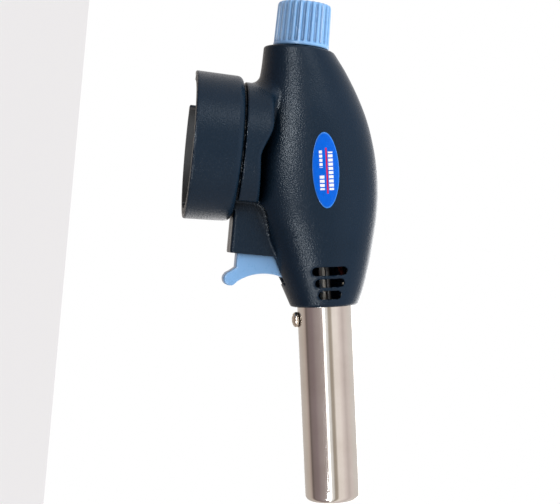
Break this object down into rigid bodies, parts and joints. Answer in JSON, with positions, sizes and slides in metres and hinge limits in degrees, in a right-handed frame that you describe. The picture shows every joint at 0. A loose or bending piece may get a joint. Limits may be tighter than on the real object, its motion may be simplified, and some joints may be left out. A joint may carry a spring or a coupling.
{
  "type": "torch head",
  "caption": "Handheld gas torch head with a bayonet collar for a cartridge, gas knob, piezo trigger and steel burner tube.",
  "frame": {"origin": "centre of the cartridge collar's mouth", "axes": "+Z from the cartridge through the collar into the housing, +X towards the flame, knob towards -X, halves of the housing meet in the plane Y = 0, badge on the -Y side"},
  "size_m": [0.1655, 0.049, 0.0679],
  "materials": {
    "housing_plastic": "very dark navy, fine-grained moulded texture",
    "light_blue_plastic": "light blue, satin",
    "ring_plastic": "black, plain",
    "tube_steel": "bright nickel-plated steel with fine lengthwise drawing lines",
    "screw_steel": "zinc-plated",
    "barrel_steel": "turned, threaded",
    "valve_brass": "machined",
    "pipe_metal": "drawn, coppery",
    "seal_rubber": "black nitrile",
    "ceramic_white": "unglazed",
    "piezo_plastic": "natural nylon",
    "lead_red": "silicone sleeve",
    "lead_black": "pvc sleeve",
    "badge_print": "printed film"
  },
  "bodies": {
    "torch_body": {"housing_left": "housing_plastic", "housing_right": "housing_plastic", "housing_screw_back": "screw_steel", "housing_screw_top": "screw_steel", "housing_screw_front": "screw_steel", "cartridge_lock_ring": "ring_plastic", "ring_screw_a": "screw_steel", "ring_screw_b": "screw_steel", "ring_screw_c": "screw_steel", "valve_body": "valve_brass", "inlet_socket": "valve_brass", "inlet_gasket": "seal_rubber", "inlet_o_ring": "seal_rubber", "gland_nut": "valve_brass", "gas_pipe": "pipe_metal", "jet_nozzle": "valve_brass", "jet_stem": "barrel_steel", "tube_holder": "barrel_steel", "mixing_tube": "barrel_steel", "burner_head": "barrel_steel", "burner_tube": "tube_steel", "tube_screw": "screw_steel", "electrode": "screw_steel", "insulator": "ceramic_white", "ignition_lead": "lead_red", "ground_lead": "lead_black", "piezo_body": "piezo_plastic", "badge": "badge_print"},
    "stem_seal": {"stem_o_ring": "seal_rubber"},
    "knob_and_stem": {"knob": "light_blue_plastic", "knob_cap": "light_blue_plastic", "knob_screw": "screw_steel", "valve_stem": "screw_steel"},
    "trigger_slider": {"trigger": "light_blue_plastic", "piezo_plunger": "screw_steel"}
  },
  "joints": [
    {"name": "stem_travel", "type": "slide", "parent": "torch_body", "child": "stem_seal", "axis": [-1, 0, 0], "range_m": [0, 0.0011]},
    {"name": "knob_turn", "type": "hinge", "parent": "stem_seal", "child": "knob_and_stem", "pos_m": [0, 0, 0.0342], "axis": [1, 0, 0], "range_deg": [0, 450]},
    {"name": "trigger_pull", "type": "slide", "parent": "torch_body", "child": "trigger_slider", "axis": [-1, 0, 0], "range_m": [0, 0.004], "stiffness_N_per_m": 1500}
  ],
  "couplings": [
    {"joint": "stem_travel", "follows": "knob_turn", "m_per_rad": 0.00012732}
  ]
}
